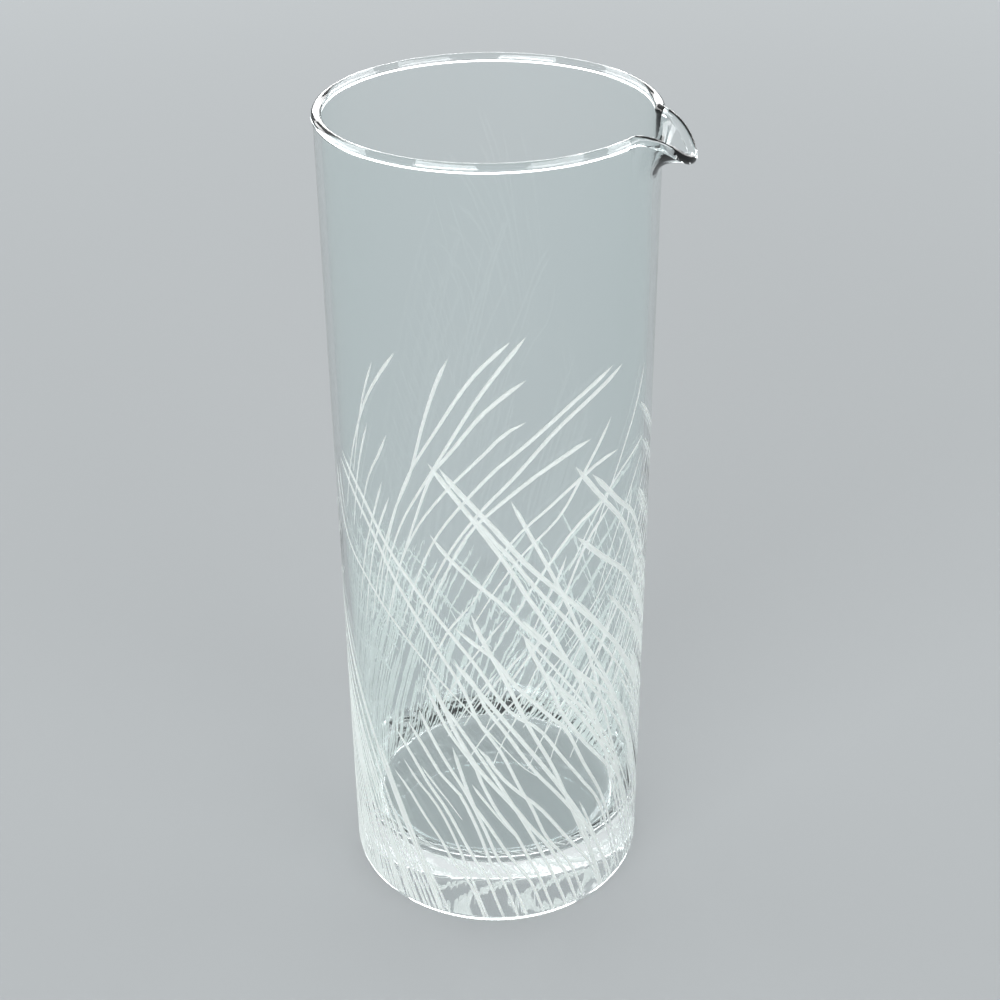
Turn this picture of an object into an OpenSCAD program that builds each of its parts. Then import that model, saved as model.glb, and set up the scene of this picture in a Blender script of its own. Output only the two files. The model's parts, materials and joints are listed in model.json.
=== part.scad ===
// Tall cylindrical glass pitcher for mixing and pouring drinks: a straight wall on a
// thick solid base, a rounded bead round the rim, and a pulled pouring lip.
// The whole vessel is one piece of glass. It stands on its flat underside, the
// origin is the centre of that face, +Z is up and the lip points along +X.

/* [Body] */
// Outside diameter of the straight wall
body_d = 90; // [80:1:100]
// Height from the underside to the top of the rim
body_h = 244; // [200:1:280]
// Thickness of the wall
wall_t = 2; // [1.8:0.1:3]

/* [Base] */
// Thickness of the solid base under the inside floor
floor_t = 21; // [14:1:30]
// Radius of the curve from the inside floor up into the wall
floor_fillet_r = 10.5; // [8:0.5:20]
// Radius of the rounded heel round the underside
heel_r = 4; // [1:0.5:6]

/* [Rim] */
// How far the rounded bead stands out from each face of the wall
bead_swell = 0.4; // [0.2:0.1:0.8]

/* [Pouring lip] */
// Width of the lip, measured round the wall
lip_w = 25.5; // [18:0.5:32]
// How far the tip reaches out past the rest of the rim
lip_reach = 9.7; // [6:0.1:12]
// How far the tip dips below the rest of the rim
lip_drop = 7.2; // [2:0.1:8]
// How far below the rim the wall starts to bend outwards
lip_depth = 15; // [13:0.5:20]

/* [Hidden] */

$fn = 96;

// The one overrun of every cut
cut_over = 1;
// How far the lip runs into the wall at both its sides and underneath
lip_seat = 1.6;
// How much the lip's faces lie under the faces of the wall that they run into
lip_seam = 0.04;

// Powers of the cosine that shape the lip's reach and dip from side to side
reach_power = 1.2;
drop_power = 2.3;
// Where the wall's bend lies at the sides of the lip, up the height of the lip
bend_share = 0.5;

// Steps of the lip's mesh: from side to side, up each face, and round the bead
lip_steps = 40;
face_steps = 10;
bead_steps = 10;

body_r = body_d / 2;
bore_r = body_r - wall_t;
mid_r = body_r - wall_t / 2;
bead_r = wall_t / 2 + bead_swell;
bead_z = body_h - bead_r;
lip_z = body_h - lip_depth;

lip_half_angle = lip_w / body_r / PI * 90;
lip_seat_angle = lip_seat / body_r / PI * 180;
lip_face = wall_t / 2 - lip_seam;
lip_bead_r = bead_r - lip_seam;

// From 1 in the middle of the lip to 0 at its sides, for an angle round the body
function bell(angle) =
    abs(angle) < lip_half_angle ? cos(90 * angle / lip_half_angle) : 0;
function reach_share(angle) = pow(bell(angle), reach_power);
function drop_share(angle) = pow(bell(angle), drop_power);

// The lip's middle line at an angle round the body is a curve with three guide
// points, as [radius, height]: where the wall starts to bend, the bend and the bead
function guide_start() = [mid_r, lip_z];
function guide_end(angle) =
    [mid_r + lip_reach * reach_share(angle), bead_z - lip_drop * drop_share(angle)];
function guide_bend(angle) =
    let (rise = guide_end(angle)[1] - lip_z)
    [mid_r, guide_end(angle)[1] - rise * bend_share * (1 - reach_share(angle))];

function line_at(angle, t) =
    (1 - t) * (1 - t) * guide_start()
    + 2 * t * (1 - t) * guide_bend(angle)
    + t * t * guide_end(angle);
function heading_at(angle, t) =
    let (step = (1 - t) * (guide_bend(angle) - guide_start())
                + t * (guide_end(angle) - guide_bend(angle)))
    step / norm(step);
// The way out of the lip's outer face, square to the middle line
function outward_at(angle, t) =
    let (way = heading_at(angle, t))
    [way[1], -way[0]];

// The faces stop one bead radius short of the bead's centre, where the bead takes over
function face_end(angle) = 1 - bead_r / (2 * norm(guide_end(angle) - guide_bend(angle)));

function outer_face(angle) = [
    for (i = [0:face_steps])
        let (t = face_end(angle) * i / face_steps)
        line_at(angle, t) + lip_face * outward_at(angle, t)
];
function inner_face(angle) = [
    for (i = [face_steps:-1:0])
        let (t = face_end(angle) * i / face_steps)
        line_at(angle, t) - lip_face * outward_at(angle, t)
];
function bead_arc(angle) =
    let (first = -acos(lip_face / lip_bead_r), last = 180 - first)
    [
        for (i = [0:bead_steps])
            let (a = first + (last - first) * i / bead_steps)
            guide_end(angle)
            + lip_bead_r * (cos(a) * outward_at(angle, 1) + sin(a) * heading_at(angle, 1))
    ];
function lip_outline(angle) = concat(
    [[mid_r + lip_face, lip_z - lip_seat]],
    outer_face(angle),
    bead_arc(angle),
    inner_face(angle),
    [[mid_r - lip_face, lip_z - lip_seat]]
);

// Triangles that close one end of the lip, laid in pairs between its two faces. The
// outline has an odd number of points, with the bead's tip in the middle.
function end_faces(count, first, turned) = [
    for (j = [0:(count - 3) / 2])
        let (across = count - 1 - j)
        for (face = j + 2 < across ? [[j, j + 1, across], [j + 1, across - 1, across]]
                                   : [[j, j + 1, across]])
            [for (v = turned ? [face[2], face[1], face[0]] : face) first + v]
];

// Outside of the vessel, from the axis to the wall, with the rounded heel
module outside_profile() {
    translate([0, heel_r]) square([body_r, bead_z - heel_r]);
    square([body_r - heel_r, bead_z]);
    translate([body_r - heel_r, heel_r]) circle(r = heel_r);
}

// Inside of the vessel, open at the top, with the curve round its floor
module inside_profile() {
    curve_z = floor_t + floor_fillet_r;
    translate([0, curve_z]) square([bore_r, body_h - curve_z + cut_over]);
    translate([0, floor_t]) square([bore_r - floor_fillet_r, body_h - floor_t]);
    translate([bore_r - floor_fillet_r, curve_z]) circle(r = floor_fillet_r);
}

// Straight vessel with its bead all the way round
module vessel() {
    rotate_extrude()
        difference() {
            outside_profile();
            inside_profile();
        }
    translate([0, 0, bead_z])
        rotate_extrude()
            translate([mid_r, 0])
                circle(r = bead_r);
}

// The stretch of wall and bead that the pouring lip takes the place of. It ends half
// way into the straight stretches by which the lip runs into the wall.
module lip_gap() {
    inner_r = bore_r - bead_swell - cut_over;
    half = lip_half_angle + lip_seat_angle / 2;
    low_z = lip_z - lip_seat / 2;
    rotate([0, 0, -half])
        rotate_extrude(angle = 2 * half)
            translate([inner_r, low_z])
                square([body_r + bead_swell + cut_over - inner_r, body_h - low_z + cut_over]);
}

// Wall and bead of the pouring lip, pulled outwards and down
module lip() {
    edge = lip_half_angle + lip_seat_angle;
    angles = concat(
        [-edge],
        [for (i = [0:lip_steps]) lip_half_angle * (2 * i / lip_steps - 1)],
        [edge]
    );
    outlines = [for (angle = angles) lip_outline(angle)];
    count = len(outlines[0]);
    last = len(angles) - 1;
    points = [
        for (i = [0:last])
            for (p = outlines[i])
                [p[0] * cos(angles[i]), p[0] * sin(angles[i]), p[1]]
    ];
    skin = [
        for (i = [0:last - 1])
            for (j = [0:count - 1])
                let (k = (j + 1) % count, a = i * count, b = a + count)
                for (face = [[a + j, a + k, b + k], [a + j, b + k, b + j]])
                    face
    ];
    polyhedron(
        points = points,
        faces = concat(end_faces(count, 0, true), end_faces(count, last * count, false), skin),
        convexity = 6
    );
}

module pitcher_glass() {
    color([0.82, 0.92, 0.93, 0.45])
        union() {
            difference() {
                vessel();
                lip_gap();
            }
            lip();
        }
}

pitcher_glass();
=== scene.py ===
"""Studio scene of a tall glass cocktail pitcher with wheel-cut strokes round its wall."""

import json
import logging
import math
import random
from dataclasses import dataclass, field, replace

import bpy
from mathutils import Matrix, Vector

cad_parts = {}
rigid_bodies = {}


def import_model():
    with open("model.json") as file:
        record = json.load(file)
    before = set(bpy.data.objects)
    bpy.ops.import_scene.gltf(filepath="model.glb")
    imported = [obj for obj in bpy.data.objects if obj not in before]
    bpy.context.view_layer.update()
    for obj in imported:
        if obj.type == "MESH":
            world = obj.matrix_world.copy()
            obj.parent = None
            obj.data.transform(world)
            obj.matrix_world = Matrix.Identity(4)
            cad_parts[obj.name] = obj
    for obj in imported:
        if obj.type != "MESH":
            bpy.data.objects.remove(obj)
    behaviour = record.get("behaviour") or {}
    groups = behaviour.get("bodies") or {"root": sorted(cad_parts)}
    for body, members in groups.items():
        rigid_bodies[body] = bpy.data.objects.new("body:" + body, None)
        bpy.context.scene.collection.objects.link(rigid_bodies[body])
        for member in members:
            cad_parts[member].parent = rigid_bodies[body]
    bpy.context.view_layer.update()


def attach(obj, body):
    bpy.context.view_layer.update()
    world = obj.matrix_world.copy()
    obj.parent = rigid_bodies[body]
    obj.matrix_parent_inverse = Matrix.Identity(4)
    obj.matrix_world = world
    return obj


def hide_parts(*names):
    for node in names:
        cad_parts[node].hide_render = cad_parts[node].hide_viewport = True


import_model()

MM = 0.001
# steps of this share of a range land evenly in it, and far apart from one to the next
GOLDEN_SHARE = (math.sqrt(5) - 1) / 2
SODA_LIME_IOR = 1.52
# points closer together than this, in metres, are one
WELD = 0.00001
# a difference of this many millimetres is only rounding
ROUNDING = 1e-6
LOG = logging.getLogger("pitcher")


def linear(colour: str) -> tuple[float, float, float, float]:
    """Turns an sRGB hex colour into the linear colour that a shader socket takes.

    Args:
        colour: Six hex digits after a hash sign.

    Returns:
        Linear red, green, blue and an alpha of 1.
    """
    channels = [int(colour[i:i + 2], 16) / 255 for i in (1, 3, 5)]
    red, green, blue = (
        c / 12.92 if c <= 0.04045 else ((c + 0.055) / 1.055) ** 2.4 for c in channels
    )
    return red, green, blue, 1.0


def add_node(
    tree: bpy.types.NodeTree,
    kind: str,
    settings: dict[str, object] | None = None,
    inputs: dict[str | int, object] | None = None,
) -> bpy.types.Node:
    """Adds one node with its settings, its socket values and its links.

    Args:
        tree: The node tree that takes the node.
        kind: The node's type name.
        settings: Properties of the node itself.
        inputs: A value for each socket, or the output socket that feeds it.

    Returns:
        The new node.
    """
    node = tree.nodes.new(kind)
    for name, value in (settings or {}).items():
        setattr(node, name, value)
    for name, value in (inputs or {}).items():
        if isinstance(value, bpy.types.NodeSocket):
            tree.links.new(value, node.inputs[name])
        else:
            node.inputs[name].default_value = value
    return node


def start_material(name: str) -> tuple[bpy.types.Material, bpy.types.NodeTree, bpy.types.Node]:
    """Makes a material with nothing but its output node.

    Args:
        name: The material's name.

    Returns:
        The material, its node tree and its output node.
    """
    material = bpy.data.materials.new(name)
    material.use_nodes = True
    tree = material.node_tree
    tree.nodes.clear()
    return material, tree, add_node(tree, "ShaderNodeOutputMaterial")


def seen_rays(tree: bpy.types.NodeTree) -> bpy.types.NodeSocket:
    """Tells apart the rays that show a surface, directly or in or through the glass.

    Args:
        tree: The node tree of the floor or the room.

    Returns:
        A socket that is 1 on those rays and 0 on the ones that carry light.
    """
    ray = add_node(tree, "ShaderNodeLightPath")
    mirrored = add_node(
        tree,
        "ShaderNodeMath",
        settings={"operation": "MAXIMUM"},
        inputs={0: ray.outputs["Is Glossy Ray"], 1: ray.outputs["Is Transmission Ray"]},
    )
    seen = add_node(
        tree,
        "ShaderNodeMath",
        settings={"operation": "MAXIMUM"},
        inputs={0: ray.outputs["Is Camera Ray"], 1: mirrored.outputs["Value"]},
    )
    return seen.outputs["Value"]


def deselect_all() -> None:
    """Leaves edit mode and deselects every object."""
    if bpy.context.mode != "OBJECT":
        bpy.ops.object.mode_set(mode="OBJECT")
    bpy.ops.object.select_all(action="DESELECT")


def pick(piece: bpy.types.Object) -> None:
    """Selects one object and makes it the active one.

    Args:
        piece: The object.
    """
    deselect_all()
    piece.select_set(True)
    bpy.context.view_layer.objects.active = piece


def named_active(name: str) -> bpy.types.Object:
    """Names the object that an operator has just made, and its mesh.

    Args:
        name: The name for both.

    Returns:
        The object.
    """
    piece = bpy.context.object
    piece.name = name
    piece.data.name = name
    return piece


@dataclass(frozen=True)
class ClearSodaLimeGlass:
    """Clear fire-polished soda-lime glass, as pressed or blown tableware is made of.

    It shows a bright, unbroken gloss and almost no colour of its own, except where one
    looks along it through the rim and the wall's edge: there the iron in the sand shows
    as a faint aqua. The mould leaves slow upright ripples in the wall.
    """

    face_tint: str = "#FAFEFE"
    edge_tint: str = "#E3F0EE"
    edge_blend: float = 0.15
    roughness: float = 0.0
    ior: float = SODA_LIME_IOR
    ripple_width_mm: float = 22.0
    ripple_stretch: float = 0.16
    ripple_depth_mm: float = 0.006

    def build(self) -> bpy.types.Material:
        """Builds the material.

        Returns:
            The material.
        """
        material, tree, output = start_material("clear_soda_lime_glass")
        place = add_node(tree, "ShaderNodeTexCoord")
        stretch = add_node(
            tree,
            "ShaderNodeMapping",
            inputs={"Vector": place.outputs["Object"], "Scale": (1, 1, self.ripple_stretch)},
        )
        ripple = add_node(
            tree,
            "ShaderNodeTexNoise",
            inputs={
                "Vector": stretch.outputs["Vector"],
                "Scale": 1 / (self.ripple_width_mm * MM),
                "Detail": 1.0,
                "Roughness": 0.4,
            },
        )
        bump = add_node(
            tree,
            "ShaderNodeBump",
            inputs={
                "Height": ripple.outputs["Fac"],
                "Strength": 1.0,
                "Distance": self.ripple_depth_mm * MM,
            },
        )
        facing = add_node(tree, "ShaderNodeLayerWeight", inputs={"Blend": self.edge_blend})
        tint = add_node(
            tree,
            "ShaderNodeMix",
            settings={"data_type": "RGBA"},
            inputs={
                "Factor": facing.outputs["Facing"],
                "A": linear(self.face_tint),
                "B": linear(self.edge_tint),
            },
        )
        glass = add_node(
            tree,
            "ShaderNodeBsdfPrincipled",
            inputs={
                "Base Color": tint.outputs["Result"],
                "Roughness": self.roughness,
                "IOR": self.ior,
                "Transmission Weight": 1.0,
                "Normal": bump.outputs["Normal"],
            },
        )
        tree.links.new(glass.outputs["BSDF"], output.inputs["Surface"])
        return material


@dataclass(frozen=True)
class WheelGroundGlass:
    """The same glass, left matt and bluish white by the grit of the grinding wheel.

    The stone breaks the surface into pits of about a tenth of a millimetre. They scatter
    some of the light back, which makes the cut white, and let the rest through blurred.
    """

    light: str = "#F7FBFA"
    shade: str = "#E8EFEC"
    # how much of the light the pits let through blurred, and how much they spread evenly
    # to the far side, as deep frosting does
    clear_share: float = 0.2
    frosted_share: float = 0.4
    roughness: float = 0.7
    ior: float = SODA_LIME_IOR
    # the real grit is finer than a pixel of the render, so it's drawn about twice as coarse
    grit_mm: float = 0.22
    grit_depth_mm: float = 0.03
    patch_mm: float = 2.5

    def build(self) -> bpy.types.Material:
        """Builds the material.

        Returns:
            The material.
        """
        material, tree, output = start_material("wheel_ground_glass")
        place = add_node(tree, "ShaderNodeTexCoord")
        patches = add_node(
            tree,
            "ShaderNodeTexNoise",
            inputs={
                "Vector": place.outputs["Object"],
                "Scale": 1 / (self.patch_mm * MM),
                "Detail": 3.0,
            },
        )
        colour = add_node(
            tree,
            "ShaderNodeMix",
            settings={"data_type": "RGBA"},
            inputs={
                "Factor": patches.outputs["Fac"],
                "A": linear(self.shade),
                "B": linear(self.light),
            },
        )
        grit = add_node(
            tree,
            "ShaderNodeTexNoise",
            inputs={
                "Vector": place.outputs["Object"],
                "Scale": 1 / (self.grit_mm * MM),
                "Detail": 2.0,
            },
        )
        bump = add_node(
            tree,
            "ShaderNodeBump",
            inputs={
                "Height": grit.outputs["Fac"],
                "Strength": 1.0,
                "Distance": self.grit_depth_mm * MM,
            },
        )
        ground = add_node(
            tree,
            "ShaderNodeBsdfPrincipled",
            inputs={
                "Base Color": colour.outputs["Result"],
                "Roughness": self.roughness,
                "IOR": self.ior,
                "Transmission Weight": self.clear_share,
                "Normal": bump.outputs["Normal"],
            },
        )
        frosting = add_node(
            tree,
            "ShaderNodeBsdfTranslucent",
            inputs={"Color": colour.outputs["Result"], "Normal": bump.outputs["Normal"]},
        )
        both = add_node(
            tree,
            "ShaderNodeMixShader",
            inputs={0: self.frosted_share, 1: ground.outputs["BSDF"], 2: frosting.outputs["BSDF"]},
        )
        tree.links.new(both.outputs["Shader"], output.inputs["Surface"])
        return material


@dataclass(frozen=True)
class StudioPaper:
    """Matt grey background paper on a roll, which shows nothing but its plain colour.

    Part of what is seen of it doesn't depend on the lamps, so that it is plain all over.
    """

    colour: str = "#AEB2B4"
    roughness: float = 0.9
    plain_share: float = 0.5
    plain_level: float = 1.12

    def build(self) -> bpy.types.Material:
        """Builds the material.

        Returns:
            The material.
        """
        material, tree, output = start_material("studio_paper")
        paper = add_node(
            tree,
            "ShaderNodeBsdfPrincipled",
            inputs={
                "Base Color": linear(self.colour),
                "Roughness": self.roughness,
                "Specular IOR Level": 0.0,
            },
        )
        plain = add_node(
            tree,
            "ShaderNodeEmission",
            inputs={"Color": linear(self.colour), "Strength": self.plain_level},
        )
        share = add_node(
            tree,
            "ShaderNodeMath",
            settings={"operation": "MULTIPLY"},
            inputs={0: seen_rays(tree), 1: self.plain_share},
        )
        seen = add_node(
            tree,
            "ShaderNodeMixShader",
            inputs={
                0: share.outputs["Value"],
                1: paper.outputs["BSDF"],
                2: plain.outputs["Emission"],
            },
        )
        tree.links.new(seen.outputs["Shader"], output.inputs["Surface"])
        # it sheds no light of its own, so no light is looked for there
        material.cycles.emission_sampling = "NONE"
        return material


@dataclass(frozen=True)
class PhotoCamera:
    """The photograph's camera, worked out from the pitcher's outlines.

    It stands half a metre away at arm's height and looks down on the pitcher.
    """

    place_mm: tuple[float, float, float] = (147.05, -404.03, 385.44)
    heading_deg: float = 19.72
    down_deg: float = 31.17
    roll_deg: float = -0.52
    lens_mm: float = 62.1
    sensor_mm: float = 36.0
    clip: tuple[float, float] = (0.01, 30.0)

    def build(self) -> None:
        """Adds the camera and makes it the scene's."""
        data = bpy.data.cameras.new("photo_camera")
        data.lens = self.lens_mm
        data.sensor_width = self.sensor_mm
        data.sensor_fit = "HORIZONTAL"
        data.clip_start, data.clip_end = self.clip
        camera = bpy.data.objects.new("photo_camera", data)
        bpy.context.scene.collection.objects.link(camera)
        camera.matrix_world = (
            Matrix.Translation(Vector(self.place_mm) * MM)
            @ Matrix.Rotation(math.radians(self.heading_deg), 4, "Z")
            @ Matrix.Rotation(math.radians(90 - self.down_deg), 4, "X")
            @ Matrix.Rotation(math.radians(self.roll_deg), 4, "Z")
        )
        bpy.context.scene.camera = camera


@dataclass(frozen=True)
class SoftLamp:
    """A large soft lamp that faces the pitcher.

    It stands at azimuth_deg round the pitcher, anticlockwise from +X. Its lengths are in
    metres and its power is in watts.
    """

    name: str
    azimuth_deg: float
    height: float
    distance: float
    size: tuple[float, float]
    power: float
    colour: str = "#FFFFFF"


@dataclass
class Studio:
    """Floor, backdrop, lamps and room light round the pitcher, in metres."""

    paper: StudioPaper = StudioPaper()
    floor_r: float = 2.6
    floor_sides: int = 96
    # the paper's nap keeps its plane this far under the glass, so that air lies between
    floor_gap: float = 0.0001
    sweep_r: float = 1.1
    sweep_steps: int = 12
    wall_h: float = 0.8
    room_colour: str = "#EAECED"
    # how strongly the room lights, and how strongly it shows itself and in the glass
    room_strength: float = 0.45
    room_shown: float = 1.0
    aim_height: float = 0.12
    lamps: tuple[SoftLamp, ...] = (
        SoftLamp("key_lamp", 262, 0.75, 1.9, (1.4, 1.0), 34),
        SoftLamp("fill_lamp", -25, 0.8, 2.0, (1.4, 1.0), 20),
        SoftLamp("back_lamp", 108, 0.75, 2.1, (2.2, 0.7), 28),
        SoftLamp("left_back_lamp", 172, 0.75, 2.0, (2.2, 0.7), 24),
        SoftLamp("right_back_lamp", 44, 0.75, 2.0, (2.2, 0.7), 24),
    )

    def build(self) -> None:
        """Builds the whole studio."""
        self._paper_sweep()
        self._room()
        for lamp in self.lamps:
            self._lamp(lamp)
        bpy.context.scene.view_settings.view_transform = "Standard"

    def _paper_sweep(self) -> None:
        """Builds the round floor, which curves up into a low backdrop on all sides."""
        deselect_all()
        bpy.ops.mesh.primitive_circle_add(vertices=self.floor_sides, radius=self.floor_r)
        floor = named_active("studio_floor")
        bpy.ops.object.mode_set(mode="EDIT")
        bpy.ops.mesh.select_mode(type="EDGE")
        bpy.ops.mesh.select_all(action="SELECT")
        bpy.ops.transform.translate(value=(0, 0, -self.floor_gap))
        turn = math.pi / 2 / self.sweep_steps
        radius = self.floor_r
        for step in range(self.sweep_steps):
            start, end = step * turn, (step + 1) * turn
            wider = radius + self.sweep_r * (math.sin(end) - math.sin(start))
            rise = self.sweep_r * (math.cos(start) - math.cos(end))
            bpy.ops.mesh.extrude_region_move(TRANSFORM_OT_translate={"value": (0, 0, rise)})
            share = wider / radius
            bpy.ops.transform.resize(value=(share, share, 1), center_override=(0, 0, 0))
            radius = wider
        bpy.ops.mesh.extrude_region_move(
            TRANSFORM_OT_translate={"value": (0, 0, self.wall_h)}
        )
        bpy.ops.mesh.select_all(action="DESELECT")
        bpy.ops.object.mode_set(mode="OBJECT")
        for edge in floor.data.edges:
            heights = [floor.data.vertices[i].co.z for i in edge.vertices]
            edge.select = max(heights) < self.floor_gap
        bpy.ops.object.mode_set(mode="EDIT")
        bpy.ops.mesh.edge_face_add()
        bpy.ops.mesh.select_all(action="SELECT")
        bpy.ops.mesh.normals_make_consistent(inside=True)
        bpy.ops.object.mode_set(mode="OBJECT")
        bpy.ops.object.shade_smooth()
        floor.data.materials.append(self.paper.build())

    def _room(self) -> None:
        """Sets the even light of the room above the backdrop."""
        world = bpy.data.worlds.new("room_light")
        world.use_nodes = True
        tree = world.node_tree
        tree.nodes.clear()
        strength = add_node(
            tree,
            "ShaderNodeMapRange",
            inputs={
                "Value": seen_rays(tree),
                "To Min": self.room_strength,
                "To Max": self.room_shown,
            },
        )
        light = add_node(
            tree,
            "ShaderNodeBackground",
            inputs={"Color": linear(self.room_colour), "Strength": strength.outputs["Result"]},
        )
        output = add_node(tree, "ShaderNodeOutputWorld")
        tree.links.new(light.outputs["Background"], output.inputs["Surface"])
        bpy.context.scene.world = world

    def _lamp(self, lamp: SoftLamp) -> None:
        """Adds one soft lamp and turns it to the pitcher.

        Args:
            lamp: Its name, place, size and power.
        """
        data = bpy.data.lights.new(lamp.name, "AREA")
        data.shape = "RECTANGLE"
        data.size, data.size_y = lamp.size
        data.energy = lamp.power
        data.color = linear(lamp.colour)[:3]
        round_by = math.radians(lamp.azimuth_deg)
        place = Vector((
            lamp.distance * math.cos(round_by),
            lamp.distance * math.sin(round_by),
            lamp.height,
        ))
        aim = Vector((0, 0, self.aim_height)) - place
        piece = bpy.data.objects.new(lamp.name, data)
        piece.matrix_world = (
            Matrix.Translation(place) @ aim.to_track_quat("-Z", "Y").to_matrix().to_4x4()
        )
        piece.visible_camera = False
        bpy.context.scene.collection.objects.link(piece)


@dataclass(frozen=True)
class VesselSizes:
    """The vessel's sizes in millimetres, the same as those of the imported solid."""

    body_d: float = 90.0
    body_h: float = 244.0
    wall_t: float = 2.0
    floor_t: float = 21.0
    floor_fillet_r: float = 10.5
    heel_r: float = 4.0
    bead_swell: float = 0.4

    @property
    def body_r(self) -> float:
        """Outside radius of the wall."""
        return self.body_d / 2

    @property
    def bore_r(self) -> float:
        """Inside radius of the wall."""
        return self.body_r - self.wall_t

    @property
    def mid_r(self) -> float:
        """Radius of the wall's middle."""
        return self.body_r - self.wall_t / 2

    @property
    def bead_r(self) -> float:
        """Radius of the rim's rounded bead."""
        return self.wall_t / 2 + self.bead_swell

    @property
    def bead_z(self) -> float:
        """Height of the bead's centre."""
        return self.body_h - self.bead_r

    @property
    def neck(self) -> float:
        """How far below the bead's centre the wall's faces run into it."""
        return math.sqrt(self.bead_r**2 - (self.wall_t / 2) ** 2)


@dataclass(frozen=True)
class PouringLip:
    """The lip: a stretch of wall and bead, pulled out and down while soft, in millimetres."""

    vessel: VesselSizes
    width: float = 25.5
    reach: float = 9.7
    drop: float = 7.2
    depth: float = 15.0
    reach_power: float = 1.2
    drop_power: float = 2.3
    bend_share: float = 0.5

    @property
    def start_z(self) -> float:
        """Height at which the wall starts to bend outwards."""
        return self.vessel.body_h - self.depth

    @property
    def half_angle(self) -> float:
        """Half of the lip's width as an angle round the wall, in degrees."""
        return math.degrees(self.width / 2 / self.vessel.body_r)

    def bell(self, angle: float) -> float:
        """Gives 1 in the middle of the lip and 0 at its sides.

        Args:
            angle: Angle round the wall in degrees.

        Returns:
            A share from 0 to 1.
        """
        if abs(angle) >= self.half_angle:
            return 0.0
        return math.cos(math.pi / 2 * angle / self.half_angle)

    def pull(self, angle: float, radius: float, height: float) -> tuple[float, float]:
        """Moves a point of the straight wall or bead to its place on the lip.

        Args:
            angle: Angle round the wall in degrees.
            radius: Distance from the axis in millimetres.
            height: Height in millimetres.

        Returns:
            The new radius and height in millimetres.
        """
        bell = self.bell(angle)
        if bell == 0 or height <= self.start_z:
            return radius, height
        sizes = self.vessel
        reach_share, drop_share = bell**self.reach_power, bell**self.drop_power
        start = Vector((sizes.mid_r, self.start_z))
        end = Vector((
            sizes.mid_r + self.reach * reach_share,
            sizes.bead_z - self.drop * drop_share,
        ))
        rise = end.y - self.start_z
        bend = Vector((sizes.mid_r, end.y - rise * self.bend_share * (1 - reach_share)))
        join_z = sizes.bead_z - sizes.neck
        if height > join_z + ROUNDING:
            way = (end - bend).normalized()
            out, along = radius - sizes.mid_r, height - sizes.bead_z
            spot = end
        else:
            last = 1 - sizes.neck / (2 * (end - bend).length)
            t = last * (height - self.start_z) / (join_z - self.start_z)
            way = ((1 - t) * (bend - start) + t * (end - bend)).normalized()
            spot = (1 - t) ** 2 * start + 2 * t * (1 - t) * bend + t**2 * end
            out, along = radius - sizes.mid_r, 0.0
        spot = spot + out * Vector((way.y, -way.x)) + along * way
        return spot.x, spot.y


@dataclass(frozen=True)
class Stroke:
    """One cut of the grinding wheel, from its broad head down to its thin foot.

    Its path is a list of (angle round the wall in degrees, height in millimetres). It
    thins out the sooner, the higher its taper is, and its drawn share is below 1 where
    the wall ends before the blade does.
    """

    path: tuple[tuple[float, float], ...]
    width: float
    taper: float = 0.9
    drawn: float = 1.0


# The strokes that stand out from the photographed side, listed in round
# numbers: (angle in degrees, height in millimetres) from the head down.
RISING_KEYS: tuple[Stroke, ...] = (
    Stroke(((-59, 199), (-66, 192), (-74, 183), (-82, 172), (-91, 159), (-102, 143),
            (-109, 128), (-114, 110)), 1.2),
    Stroke(((-64, 198), (-72, 192), (-79, 185), (-88, 173), (-100, 156), (-108, 138),
            (-116, 112)), 1.1),
    Stroke(((-59, 187), (-66, 183), (-74, 177), (-84, 166), (-91, 158), (-99, 140),
            (-107, 121), (-112, 105)), 1.2),
    Stroke(((-59, 175), (-66, 172), (-73, 166), (-81, 159), (-88, 152), (-97, 141),
            (-105, 126), (-109, 112)), 1.0),
    Stroke(((-26, 185), (-34, 182), (-45, 177), (-61, 167), (-72, 159), (-88, 142),
            (-97, 126), (-105, 107)), 1.3),
    Stroke(((-21, 184), (-36, 178), (-49, 171), (-64, 158), (-74, 149), (-84, 137),
            (-93, 122), (-102, 104)), 1.4),
    Stroke(((-35, 166), (-43, 164), (-57, 158), (-73, 147), (-81, 138), (-89, 124),
            (-95, 112)), 1.4),
    Stroke(((-26, 170), (-31, 164), (-38, 156), (-47, 145), (-59, 136), (-68, 126),
            (-77, 113)), 1.1),
    Stroke(((-22, 159), (-31, 158), (-39, 155), (-50, 149), (-64, 139), (-78, 119)), 1.2),
    Stroke(((-28, 146), (-41, 140), (-54, 127), (-63, 115), (-71, 103)), 1.1),
    Stroke(((-25, 143), (-36, 134), (-47, 115), (-55, 105), (-64, 94)), 1.1),
    Stroke(((-5, 179), (-10, 170), (-18, 159), (-28, 144), (-35, 130)), 1.0),
    Stroke(((-4, 157), (-14, 154), (-23, 150), (-33, 141), (-43, 127)), 1.0),
    Stroke(((-12, 144), (-15, 132), (-24, 121), (-34, 111), (-44, 102)), 0.9),
    Stroke(((-44, 132), (-47, 126), (-53, 116), (-58, 106)), 0.9),
    Stroke(((-78, 119), (-86, 110), (-92, 99), (-97, 86)), 0.8),
    Stroke(((-84, 193), (-88, 186), (-93, 174), (-99, 157), (-106, 144), (-114, 124),
            (-120, 104)), 1.1),
    Stroke(((-103, 192), (-111, 183), (-119, 172), (-128, 154), (-134, 136)), 1.0),
    Stroke(((-113, 187), (-117, 179), (-121, 169), (-127, 150)), 0.8),
    Stroke(((-117, 168), (-121, 159), (-125, 148), (-129, 132)), 0.8),
    Stroke(((-108, 167), (-112, 160), (-118, 151), (-124, 136)), 0.9),
    Stroke(((-108, 148), (-115, 134), (-120, 119), (-124, 102)), 0.8),
    Stroke(((-111, 152), (-117, 138), (-122, 126), (-127, 108)), 0.8),
)
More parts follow.
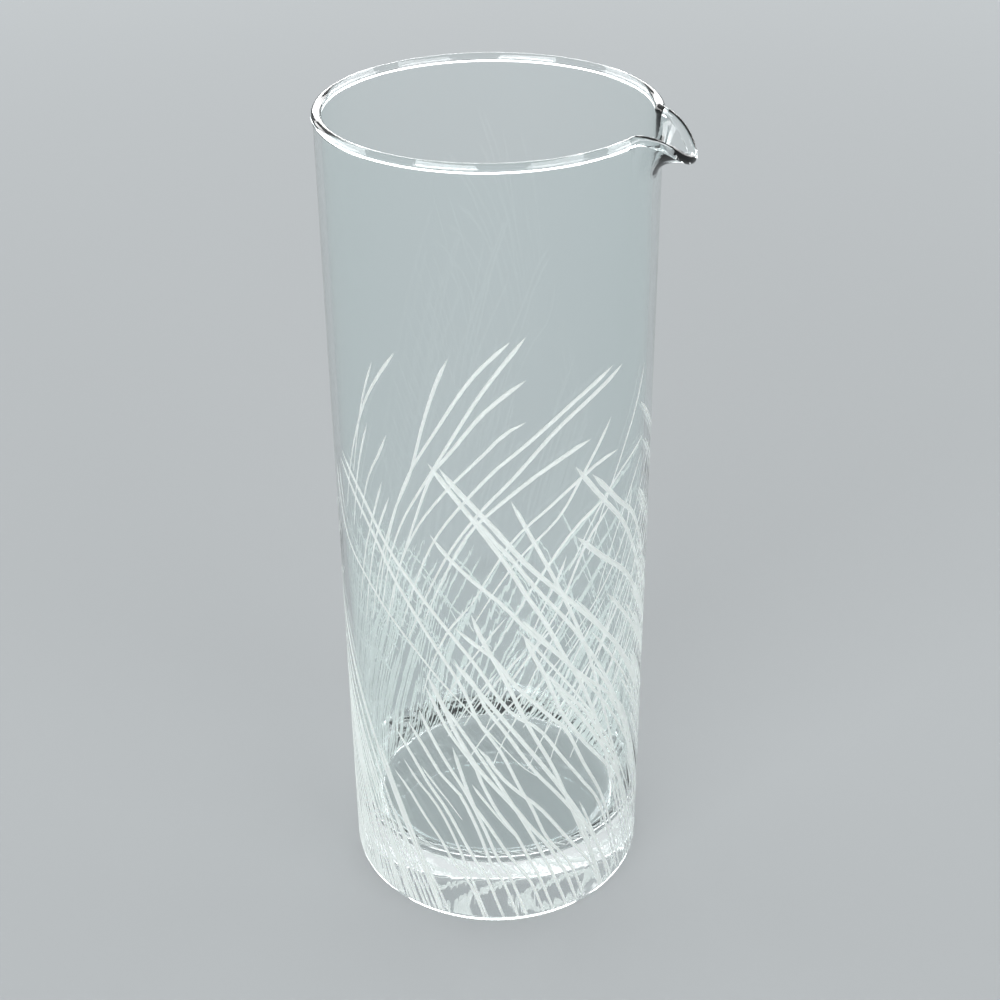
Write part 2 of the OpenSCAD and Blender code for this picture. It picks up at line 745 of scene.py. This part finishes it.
FALLING_KEYS: tuple[Stroke, ...] = (
    Stroke(((-92, 162), (-85, 155), (-74, 143), (-64, 130), (-59, 122), (-52, 112),
            (-44, 98), (-37, 87), (-28, 68), (-19, 42)), 1.5, 0.6, 0.8),
    Stroke(((-88, 161), (-83, 156), (-71, 145), (-59, 132), (-49, 123), (-34, 109),
            (-22, 97), (-14, 88), (1, 67)), 1.6, 0.6, 0.8),
    Stroke(((-76, 147), (-70, 140), (-64, 134), (-54, 122), (-43, 110), (-34, 98),
            (-25, 85), (-15, 68), (-7, 50)), 1.3, 0.6, 0.8),
    Stroke(((-41, 159), (-29, 146), (-16, 133), (-5, 116), (8, 89)), 1.5, 0.6, 0.8),
    Stroke(((-34, 155), (-21, 143), (-10, 134), (0, 118), (7, 99)), 1.5, 0.6, 0.8),
    Stroke(((-64, 152), (-57, 140), (-50, 128), (-44, 117), (-39, 107), (-33, 94),
            (-26, 75), (-18, 54)), 1.2, 0.6, 0.8),
    Stroke(((-92, 140), (-86, 134), (-76, 126), (-68, 120), (-58, 110), (-48, 101),
            (-37, 90), (-21, 76), (-8, 59)), 1.3, 0.6, 0.8),
    Stroke(((-40, 137), (-28, 127), (-16, 118), (-5, 106), (9, 86)), 1.6, 0.6, 0.8),
    Stroke(((-136, 153), (-122, 144), (-110, 132), (-97, 120), (-84, 107), (-76, 98),
            (-69, 88), (-63, 81), (-54, 75), (-45, 63), (-35, 50), (-26, 37)), 1.3, 0.5, 0.8),
    Stroke(((-78, 116), (-75, 109), (-71, 102), (-67, 95), (-64, 89), (-57, 75), (-48, 59),
            (-40, 41), (-31, 21)), 1.4, 0.5, 0.8),
    Stroke(((-84, 111), (-77, 106), (-70, 101), (-63, 92), (-56, 85), (-49, 78), (-43, 72),
            (-35, 57), (-24, 38)), 1.3, 0.5, 0.8),
    Stroke(((-60, 109), (-56, 101), (-51, 92), (-47, 83), (-44, 77), (-35, 65), (-27, 56),
            (-18, 44)), 1.3, 0.5, 0.8),
    Stroke(((-52, 95), (-46, 88), (-41, 83), (-33, 74), (-28, 66), (-19, 53), (-12, 35)),
            1.2, 0.5, 0.8),
    Stroke(((-81, 97), (-76, 90), (-74, 85), (-67, 76), (-60, 66), (-55, 59), (-48, 51),
            (-40, 41), (-34, 31)), 1.2, 0.35, 0.8),
    Stroke(((-138, 150), (-129, 144), (-117, 134), (-108, 123), (-101, 115), (-91, 103),
            (-82, 91), (-76, 79), (-68, 68), (-61, 54), (-57, 47), (-51, 34), (-44, 25),
            (-39, 17)), 1.2, 0.35, 0.8),
    Stroke(((-145, 146), (-142, 135), (-135, 125), (-123, 118), (-113, 111), (-101, 102),
            (-91, 93), (-82, 85), (-72, 75), (-61, 63), (-55, 58)), 1.1),
    Stroke(((-77, 70), (-73, 66), (-69, 60), (-62, 53), (-55, 47), (-49, 40), (-43, 32),
            (-32, 18), (-28, 11)), 1.2, 0.35, 0.8),
    Stroke(((-95, 93), (-89, 83), (-85, 75), (-78, 64), (-73, 58), (-64, 48), (-58, 40),
            (-50, 30), (-46, 23), (-42, 16)), 1.5, 0.35, 0.8),
    Stroke(((-96, 89), (-93, 84), (-87, 74), (-78, 63), (-75, 56), (-69, 45), (-63, 37),
            (-57, 25), (-53, 17)), 1.2, 0.35, 0.8),
    Stroke(((-86, 69), (-84, 63), (-82, 57), (-78, 47), (-74, 42), (-65, 28), (-57, 17)),
            1.2, 0.35, 0.8),
    Stroke(((-79, 56), (-76, 52), (-72, 47), (-68, 42), (-63, 36)), 1.1),
    Stroke(((-99, 80), (-94, 71), (-88, 62), (-81, 52), (-75, 40), (-69, 26), (-65, 20)),
            1.2, 0.35, 0.8),
    Stroke(((-104, 74), (-97, 66), (-91, 58), (-84, 52), (-80, 45), (-76, 36), (-72, 25),
            (-68, 19)), 1.2, 0.35, 0.8),
    Stroke(((-110, 69), (-103, 62), (-96, 53), (-89, 45), (-82, 33), (-78, 26), (-74, 20)),
            1.2, 0.35, 0.8),
    Stroke(((-99, 59), (-95, 55), (-91, 51), (-88, 48), (-83, 42)), 0.9),
    Stroke(((-107, 59), (-100, 52), (-95, 48), (-91, 43), (-87, 36), (-83, 27)), 1.0, 0.35, 0.8),
    Stroke(((-112, 53), (-105, 48), (-99, 41), (-92, 33), (-87, 25), (-80, 16)), 1.1, 0.35, 0.8),
)


@dataclass
class StrokeField:
    """All the wheel-cut strokes: two families of grass-like blades that cross.

    The falling blades stand side by side round the base like a comb, and each reaches up
    to its own height. The rising ones cross their upper halves.
    """

    vessel: VesselSizes
    seed: int = 7
    # millimetres round the wall from one stroke to the next: on the keys' side and
    # opposite it, and at the sides between
    falling_pitch: tuple[float, float] = (2.9, 0.8)
    rising_pitch: tuple[float, float] = (4.2, 1.4)
    # how high the heads reach, lowest and highest: among the keys in millimetres, and
    # elsewhere in shares of the crest
    falling_keys: tuple[float, float] = (26.0, 116.0)
    falling_share: tuple[float, float] = (0.35, 1.0)
    rising_keys: tuple[float, float] = (88.0, 118.0)
    rising_share: tuple[float, float] = (0.55, 1.0)
    # the tallest heads, in the middle of the photographed side and opposite it
    crest_high: float = 190.0
    crest_low: float = 88.0
    crest_deg: float = -60.0
    # between these angles the tall blades are the key strokes
    key_deg: tuple[float, float] = (-124.0, -6.0)
    # the angles between which no blade rises by the rule
    no_rising_deg: tuple[float, float] = (-168.0, -99.0)
    foot_z: float = 3.6
    # the slope at which a key stroke that isn't drawn in full runs on to the base
    key_foot_deg: float = 73.0
    # no foot is closer to a key stroke's than this many degrees
    foot_gap: float = 3.2
    # the rising blades end above the base, at this share of their head's height or sooner
    rising_foot: tuple[float, float] = (0.62, 0.78)
    # slopes in degrees, lowest and highest: a falling blade is steep at its foot and flat
    # at the turn height, a rising one is flat at its head and steep after the turn length
    falling_steep: tuple[float, float] = (68, 75)
    falling_flat: tuple[float, float] = (44, 50)
    falling_turn: float = 150
    rising_flat: tuple[float, float] = (44, 54)
    rising_steep: tuple[float, float] = (66, 76)
    rising_turn: float = 40
    rising_length: tuple[float, float] = (50, 95)
    falling_widths: tuple[float, ...] = (0.8, 1.0, 1.2, 1.4)
    rising_widths: tuple[float, ...] = (0.6, 0.7, 0.8, 1.0)
    falling_taper: float = 0.3
    falling_drawn: float = 0.7
    # how unevenly the blades stand, as a share of the step between them
    uneven: float = 0.35
    # how soon the blades crowd together on the way to the sides seen edge on
    crowding: int = 4
    # length of the steps in which the rule walks along a blade
    step: float = 2.0
    # a path whose points stand no further apart than this needs no smoothing
    fine: float = 2.5
    # segments of the stone along a stroke: how long they are, and how few there may be
    spacing: float = 4.5
    fewest: int = 8
    # the cut's depth is a share of its width, and its bottom is a share as wide as its top
    depth_share: float = 0.18
    shoulder: float = 0.45
    head_length: float = 3.5
    head_power: float = 0.6
    foot_width: float = 0.3
    thinnest: float = 0.06
    # how far the stone stands out of the wall
    over: float = 0.3

    def strokes(self) -> list[Stroke]:
        """Lists the key strokes and the ones that a seeded rule adds round the wall.

        Returns:
            All the strokes.
        """
        dice = random.Random(self.seed)
        keys = [self._run_down(stroke) for stroke in FALLING_KEYS]
        feet = [stroke.path[-1][0] for stroke in keys]
        return [*RISING_KEYS, *keys, *self._falling(dice, feet), *self._rising(dice)]

    def _run_down(self, stroke: Stroke) -> Stroke:
        """Takes a key stroke that isn't drawn in full on to the base.

        Args:
            stroke: The key stroke.

        Returns:
            The stroke with its foot at the base, or as it was.
        """
        angle, height = stroke.path[-1]
        if stroke.drawn == 1 or height < self.foot_z:
            return stroke
        across = (height - self.foot_z) / math.tan(math.radians(self.key_foot_deg))
        foot = (angle + math.degrees(across / self.vessel.body_r), self.foot_z)
        return replace(stroke, path=(*stroke.path, foot))

    def crest(self, angle: float) -> float:
        """Gives the height of the tallest heads at an angle round the wall."""
        swing = math.cos(math.radians(angle - self.crest_deg))
        return (self.crest_high + self.crest_low + (self.crest_high - self.crest_low) * swing) / 2

    def by_keys(self, angle: float) -> bool:
        """Tells whether an angle round the wall is on the key strokes' side."""
        return self.key_deg[0] < angle < self.key_deg[1]

    @staticmethod
    def _spread(index: int, low: float, high: float) -> float:
        """Gives neighbours very different values between a low and a high one."""
        return low + (high - low) * (index * GOLDEN_SHARE % 1)

    def _places(self, dice: random.Random, pitch: tuple[float, float]) -> list[float]:
        """Goes once round the wall in slightly uneven steps.

        Args:
            dice: The seeded source of chance.
            pitch: Millimetres from one place to the next, widest and narrowest.

        Returns:
            Angles round the wall in degrees.
        """
        found = []
        angle = -180.0
        while angle < 180:
            wide = math.cos(math.radians(angle - self.crest_deg)) ** self.crowding
            step = math.degrees((pitch[1] + (pitch[0] - pitch[1]) * wide) / self.vessel.body_r)
            found.append(angle + step * dice.uniform(-self.uneven, self.uneven))
            angle += step
        return found

    def _falling(self, dice: random.Random, taken: list[float]) -> list[Stroke]:
        """Lays the comb of blades that fall to the right, each from its foot upwards.

        Args:
            dice: The seeded source of chance.
            taken: Angles at which key strokes have their feet.

        Returns:
            The strokes.
        """
        found = []
        for index, angle in enumerate(self._places(dice, self.falling_pitch)):
            height = self.foot_z
            share = self._spread(index, *self.falling_share)
            key_top = self._spread(index, *self.falling_keys)
            steep, flat = dice.uniform(*self.falling_steep), dice.uniform(*self.falling_flat)
            path = [(angle, height)]
            while height < (key_top if self.by_keys(angle) else share * self.crest(angle)):
                slope = math.radians(steep + (flat - steep) * height / self.falling_turn)
                height += self.step * math.sin(slope)
                angle -= math.degrees(self.step * math.cos(slope) / self.vessel.body_r)
                path.append((angle, height))
            width = dice.choice(self.falling_widths)
            if all(abs(path[0][0] - foot) > self.foot_gap for foot in taken):
                blade = tuple(reversed(path))
                found.append(Stroke(blade, width, self.falling_taper, self.falling_drawn))
        return found

    def _rising(self, dice: random.Random) -> list[Stroke]:
        """Lays the blades that run down to the left and grow steeper on their way.

        Args:
            dice: The seeded source of chance.

        Returns:
            The strokes.
        """
        found = []
        for index, angle in enumerate(self._places(dice, self.rising_pitch)):
            height = self._spread(index, *self.rising_share) * self.crest(angle)
            flat, steep = dice.uniform(*self.rising_flat), dice.uniform(*self.rising_steep)
            length = dice.uniform(*self.rising_length)
            foot_share = dice.uniform(*self.rising_foot)
            width = dice.choice(self.rising_widths)
            if self.by_keys(angle):
                height = self._spread(index, *self.rising_keys)
            path = [(angle, height)]
            run = 0.0
            foot_z = foot_share * height
            while run < length and height > foot_z:
                turned = min(1.0, run / self.rising_turn)
                slope = math.radians(flat + (steep - flat) * turned)
                height -= self.step * math.sin(slope)
                angle -= math.degrees(self.step * math.cos(slope) / self.vessel.body_r)
                path.append((angle, height))
                run += self.step
            if not self.no_rising_deg[0] < angle < self.no_rising_deg[1]:
                found.append(Stroke(tuple(path), width))
        return found

    def stations(self, stroke: Stroke) -> list[Vector]:
        """Spaces points evenly along a stroke, on the unrolled wall.

        Args:
            stroke: The stroke.

        Returns:
            Points, as millimetres round the wall and up it.
        """
        per_degree = math.radians(1) * self.vessel.body_r
        knots = [Vector((angle * per_degree, height)) for angle, height in stroke.path]
        line = self._smooth(knots) if (knots[1] - knots[0]).length > self.fine else knots
        lengths = [0.0]
        for a, b in zip(line, line[1:]):
            lengths.append(lengths[-1] + (b - a).length)
        count = max(self.fewest, round(lengths[-1] / self.spacing))
        found = []
        place = 0
        for index in range(count + 1):
            target = index / count * lengths[-1]
            while place < len(line) - 2 and lengths[place + 1] < target:
                place += 1
            part = (target - lengths[place]) / (lengths[place + 1] - lengths[place])
            found.append(line[place].lerp(line[place + 1], min(1.0, part)))
        return found

    @staticmethod
    def _smooth(knots: list[Vector], steps: int = 8) -> list[Vector]:
        """Runs a smooth curve through a few points.

        Args:
            knots: The points.
            steps: Steps of the curve between two of them.

        Returns:
            The curve's points.
        """
        ends = [2 * knots[0] - knots[1], *knots, 2 * knots[-1] - knots[-2]]
        line = []
        for a, b, c, d in zip(ends, ends[1:], ends[2:], ends[3:]):
            for step in range(steps):
                t = step / steps
                line.append(
                    0.5 * (2 * b + (c - a) * t + (2 * a - 5 * b + 4 * c - d) * t**2
                           + (3 * b - a - 3 * c + d) * t**3)
                )
        line.append(knots[-1])
        return line

    def width_at(self, stroke: Stroke, share: float, length: float) -> float:
        """Gives a stroke's width at a share of its length.

        Args:
            stroke: The stroke.
            share: From 0 at the head to 1 at the foot.
            length: The stroke's length in millimetres.

        Returns:
            The width in millimetres.
        """
        head = min(1.0, share * length / self.head_length) ** self.head_power
        left = (1 - share * stroke.drawn) ** stroke.taper
        body = self.foot_width + (stroke.width - self.foot_width) * left
        return max(self.thinnest, body * head)

    def stone(self, count: int) -> bpy.types.Object:
        """Models the wheel's cut as a straight bar, one unit long, along +X.

        Args:
            count: Number of segments along it.

        Returns:
            The bar. Its section runs from -1 to 1 across and from 0 to 1 upwards.
        """
        deselect_all()
        bpy.ops.mesh.primitive_plane_add(size=1, rotation=(0, math.pi / 2, 0))
        bar = named_active("stone_bar")
        bpy.ops.object.transform_apply(location=False, rotation=True, scale=False)
        bpy.ops.object.mode_set(mode="EDIT")
        bpy.ops.mesh.select_all(action="SELECT")
        bpy.ops.transform.resize(value=(1, 2, 1), center_override=(0, 0, 0))
        bpy.ops.transform.translate(value=(0, 0, 0.5))
        for _ in range(count):
            bpy.ops.mesh.extrude_region_move(
                TRANSFORM_OT_translate={"value": (1 / count, 0, 0)}
            )
        bpy.ops.object.mode_set(mode="OBJECT")
        return bar

    def lay(self, bar: bpy.types.Object, stroke: Stroke, line: list[Vector]) -> None:
        """Bends a straight bar along a stroke round the wall.

        Args:
            bar: The bar, with one section at each point of the line.
            stroke: The stroke.
            line: Points of the stroke on the unrolled wall, evenly spaced.
        """
        radius = self.vessel.body_r
        last = len(line) - 1
        length = sum((b - a).length for a, b in zip(line, line[1:]))
        for vertex in bar.data.vertices:
            index = round(vertex.co.x * last)
            side = 1 if vertex.co.y > 0 else -1
            way = (line[min(last, index + 1)] - line[max(0, index - 1)]).normalized()
            width = self.width_at(stroke, index / last, length)
            depth = self.depth_share * width
            half = self.shoulder * width / 2
            reach = radius - depth
            if vertex.co.z > 0.5:
                half = width / 2 + (width / 2 - half) * self.over / depth
                reach = radius + self.over
            spot = line[index] + side * half * Vector((-way.y, way.x))
            angle = spot.x / radius
            vertex.co = Vector((reach * math.cos(angle), reach * math.sin(angle), spot.y)) * MM

    def cutters(self, slots: tuple[bpy.types.Material, ...]) -> bpy.types.Collection:
        """Makes one solid for each stroke, to be taken out of the wall.

        Args:
            slots: The vessel's materials. Every face takes the last one.

        Returns:
            The collection that holds the solids.
        """
        shelf = bpy.data.collections.new("stones")
        bpy.context.scene.collection.children.link(shelf)
        bars: dict[int, bpy.types.Object] = {}
        for number, stroke in enumerate(self.strokes()):
            line = self.stations(stroke)
            count = len(line) - 1
            if count not in bars:
                bars[count] = self.stone(count)
            bar = bars[count].copy()
            bar.data = bars[count].data.copy()
            bar.name = bar.data.name = f"stone_{number:03d}"
            self.lay(bar, stroke, line)
            for slot in slots:
                bar.data.materials.append(slot)
            for face in bar.data.polygons:
                face.material_index = len(slots) - 1
            shelf.objects.link(bar)
        for bar in bars.values():
            bpy.data.objects.remove(bar)
        deselect_all()
        for bar in shelf.objects:
            bar.select_set(True)
        bpy.context.view_layer.objects.active = shelf.objects[0]
        bpy.ops.object.mode_set(mode="EDIT")
        bpy.ops.mesh.select_all(action="SELECT")
        bpy.ops.mesh.quads_convert_to_tris()
        bpy.ops.mesh.normals_make_consistent(inside=False)
        bpy.ops.object.mode_set(mode="OBJECT")
        return shelf


@dataclass
class Pitcher:
    """The whole object: one vessel of clear glass with ground strokes."""

    vessel: VesselSizes = VesselSizes()
    wall_rows: int = 9
    lip_rows: int = 9
    bead_steps: int = 18
    heel_steps: int = 8
    fillet_steps: int = 12
    bore_rows: int = 8
    lip_sector_deg: float = 36.0
    lip_sector_steps: int = 40
    rest_steps: int = 168
    # the one ring of points in the underside and in the floor, as a share of the radius
    foot_ring: float = 0.5
    floor_ring: float = 0.35
    # edges that turn by less than this are smooth to the eye
    sharp_deg: float = 24.0
    lip: PouringLip = field(init=False)
    strokes: StrokeField = field(init=False)

    def __post_init__(self) -> None:
        """Fits the lip and the strokes to the vessel."""
        self.lip = PouringLip(self.vessel)
        self.strokes = StrokeField(self.vessel)

    def build(self) -> None:
        """Builds the pitcher and ties it to its body."""
        glass = ClearSodaLimeGlass().build()
        ground = WheelGroundGlass().build()
        body = self._turn()
        self._pull_lip(body)
        for slot in (glass, ground):
            body.data.materials.append(slot)
        self._cut_strokes(body, (glass, ground))
        pick(body)
        bpy.ops.object.shade_smooth_by_angle(angle=math.radians(self.sharp_deg))
        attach(body, "root")
        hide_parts("pitcher_glass")
        body.data.calc_loop_triangles()
        LOG.info("pitcher_vessel: %d triangles", len(body.data.loop_triangles))

    def outline(self) -> list[Vector]:
        """Lists half of the vessel's section, from under the axis up, over the rim and
        down the inside to the axis again.

        Returns:
            Points as radius and height in millimetres.
        """
        sizes = self.vessel
        points = [Vector((0, 0)), Vector((sizes.body_r * self.foot_ring, 0))]
        heel = Vector((sizes.body_r - sizes.heel_r, sizes.heel_r))
        points += self._arc(heel, sizes.heel_r, -90, 0, self.heel_steps)
        lip_z, join_z = self.lip.start_z, sizes.bead_z - sizes.neck
        points += self._rows(sizes.body_r, sizes.heel_r, lip_z, self.wall_rows)
        points += self._rows(sizes.body_r, lip_z, join_z, self.lip_rows)
        bead = Vector((sizes.mid_r, sizes.bead_z))
        first = -math.degrees(math.asin(sizes.neck / sizes.bead_r))
        points += self._arc(bead, sizes.bead_r, first, 180 - first, self.bead_steps)[1:-1]
        points += [Vector((sizes.bore_r, join_z))]
        points += self._rows(sizes.bore_r, join_z, lip_z, self.lip_rows)
        curve_z = sizes.floor_t + sizes.floor_fillet_r
        points += self._rows(sizes.bore_r, lip_z, curve_z, self.bore_rows)
        curve = Vector((sizes.bore_r - sizes.floor_fillet_r, curve_z))
        points += self._arc(curve, sizes.floor_fillet_r, 0, -90, self.fillet_steps)[1:]
        ring = Vector((sizes.bore_r * self.floor_ring, sizes.floor_t))
        return [*points, ring, Vector((0, sizes.floor_t))]

    @staticmethod
    def _arc(
        centre: Vector, radius: float, start: float, end: float, steps: int
    ) -> list[Vector]:
        """Lists the points of an arc in the section, both ends among them.

        Args:
            centre: Its centre as radius and height.
            radius: Its radius.
            start: Angle of its first point in degrees, from straight outwards.
            end: Angle of its last point.
            steps: Number of steps.

        Returns:
            The points.
        """
        angles = [math.radians(start + (end - start) * i / steps) for i in range(steps + 1)]
        return [centre + radius * Vector((math.cos(a), math.sin(a))) for a in angles]

    @staticmethod
    def _rows(radius: float, start: float, end: float, rows: int) -> list[Vector]:
        """Lists the points of an upright line in the section, without its first one."""
        return [Vector((radius, start + (end - start) * i / rows)) for i in range(1, rows + 1)]

    def _turn(self) -> bpy.types.Object:
        """Draws the section edge by edge and spins it, in finer steps across the lip.

        Returns:
            The vessel, still without its lip and strokes.
        """
        deselect_all()
        # merged at its centre, the plane leaves the one point at which the section starts
        bpy.ops.mesh.primitive_plane_add(size=0.01, location=(0, 0, 0))
        body = named_active("pitcher_vessel")
        bpy.ops.object.mode_set(mode="EDIT")
        bpy.ops.mesh.select_mode(type="VERT")
        bpy.ops.mesh.select_all(action="SELECT")
        bpy.ops.mesh.merge(type="CENTER")
        points = self.outline()
        turn = math.radians(self.lip_sector_deg / 2)
        out = Vector((math.cos(turn), -math.sin(turn), 0))
        for a, b in zip(points, points[1:]):
            move = ((b.x - a.x) * out + Vector((0, 0, b.y - a.y))) * MM
            bpy.ops.mesh.extrude_region_move(TRANSFORM_OT_translate={"value": move})
        bpy.ops.mesh.select_all(action="SELECT")
        for degrees, steps in (
            (self.lip_sector_deg, self.lip_sector_steps),
            (360 - self.lip_sector_deg, self.rest_steps),
        ):
            bpy.ops.mesh.spin(
                steps=steps, angle=math.radians(degrees), center=(0, 0, 0), axis=(0, 0, 1)
            )
        bpy.ops.mesh.select_all(action="SELECT")
        bpy.ops.mesh.remove_doubles(threshold=WELD)
        bpy.ops.mesh.normals_make_consistent(inside=False)
        bpy.ops.object.mode_set(mode="OBJECT")
        return body

    def _pull_lip(self, body: bpy.types.Object) -> None:
        """Pulls the lip's stretch of wall and bead outwards and down.

        Args:
            body: The vessel.
        """
        for vertex in body.data.vertices:
            x, y, z = vertex.co / MM
            angle = math.atan2(y, x)
            radius, height = self.lip.pull(math.degrees(angle), math.hypot(x, y), z)
            vertex.co = Vector((radius * math.cos(angle), radius * math.sin(angle), height)) * MM

    def _cut_strokes(
        self, body: bpy.types.Object, slots: tuple[bpy.types.Material, ...]
    ) -> None:
        """Takes every stroke out of the wall.

        Args:
            body: The vessel.
            slots: Its materials, the ground one last.
        """
        shelf = self.strokes.cutters(slots)
        pick(body)
        cut = body.modifiers.new("cut_strokes", "BOOLEAN")
        cut.operation = "DIFFERENCE"
        cut.solver = "MANIFOLD"
        cut.operand_type = "COLLECTION"
        cut.collection = shelf
        bpy.ops.object.modifier_apply(modifier=cut.name)
        for bar in list(shelf.objects):
            bpy.data.objects.remove(bar)
        bpy.data.collections.remove(shelf)


def main() -> None:
    """Builds the studio and the pitcher in order, and reports each piece."""
    logging.basicConfig(level=logging.INFO, format="%(name)s: %(message)s")
    PhotoCamera().build()
    Studio().build()
    LOG.info("studio ready")
    Pitcher().build()


if __name__ == "__main__":
    main()
